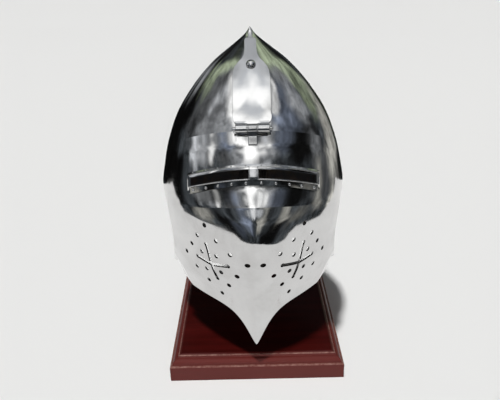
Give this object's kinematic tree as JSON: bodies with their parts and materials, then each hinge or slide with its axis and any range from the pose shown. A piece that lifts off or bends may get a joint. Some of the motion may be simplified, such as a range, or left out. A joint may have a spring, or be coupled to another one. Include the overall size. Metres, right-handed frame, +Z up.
{
  "type": "bascinet on display stand",
  "caption": "Pointed steel bascinet with a brow-hinged visor, eye slits, breath holes and cross slots, on a moulded wooden display base.",
  "frame": {"origin": "middle of the display base's underside", "axes": "-Y is the way the face looks, +X is to the right of someone looking at the face, +Z is up along the post"},
  "size_m": [0.217, 0.265, 0.385],
  "materials": {
    "polished_steel": "polished sheet steel with faint hammer waviness and fine scratches",
    "mahogany": "gloss-lacquered red-brown mahogany stain",
    "plain_wood": "plain turned wood"
  },
  "bodies": {
    "helmet_and_stand": {"skull": "polished_steel", "hinge_plate": "polished_steel", "plate_rivet": "polished_steel", "hinge_pin": "polished_steel", "display_base": "mahogany", "post": "plain_wood"},
    "visor": {"visor_shell": "polished_steel", "sight_frame": "polished_steel", "visor_leaf": "polished_steel", "sight_rivet_lower_left_1": "polished_steel", "sight_rivet_lower_left_2": "polished_steel", "sight_rivet_lower_left_3": "polished_steel", "sight_rivet_lower_left_4": "polished_steel", "sight_rivet_lower_left_5": "polished_steel", "sight_rivet_lower_right_1": "polished_steel", "sight_rivet_lower_right_2": "polished_steel", "sight_rivet_lower_right_3": "polished_steel", "sight_rivet_lower_right_4": "polished_steel", "sight_rivet_lower_right_5": "polished_steel", "sight_rivet_upper_left_1": "polished_steel", "sight_rivet_upper_left_2": "polished_steel", "sight_rivet_upper_left_3": "polished_steel", "sight_rivet_upper_left_4": "polished_steel", "sight_rivet_upper_left_5": "polished_steel", "sight_rivet_upper_right_1": "polished_steel", "sight_rivet_upper_right_2": "polished_steel", "sight_rivet_upper_right_3": "polished_steel", "sight_rivet_upper_right_4": "polished_steel", "sight_rivet_upper_right_5": "polished_steel"}
  },
  "joints": [
    {"name": "visor_hinge", "type": "hinge", "parent": "helmet_and_stand", "child": "visor", "pos_m": [0, -0.084, 0.3006], "axis": [-1, 0, 0], "range_deg": [0, 120]}
  ]
}
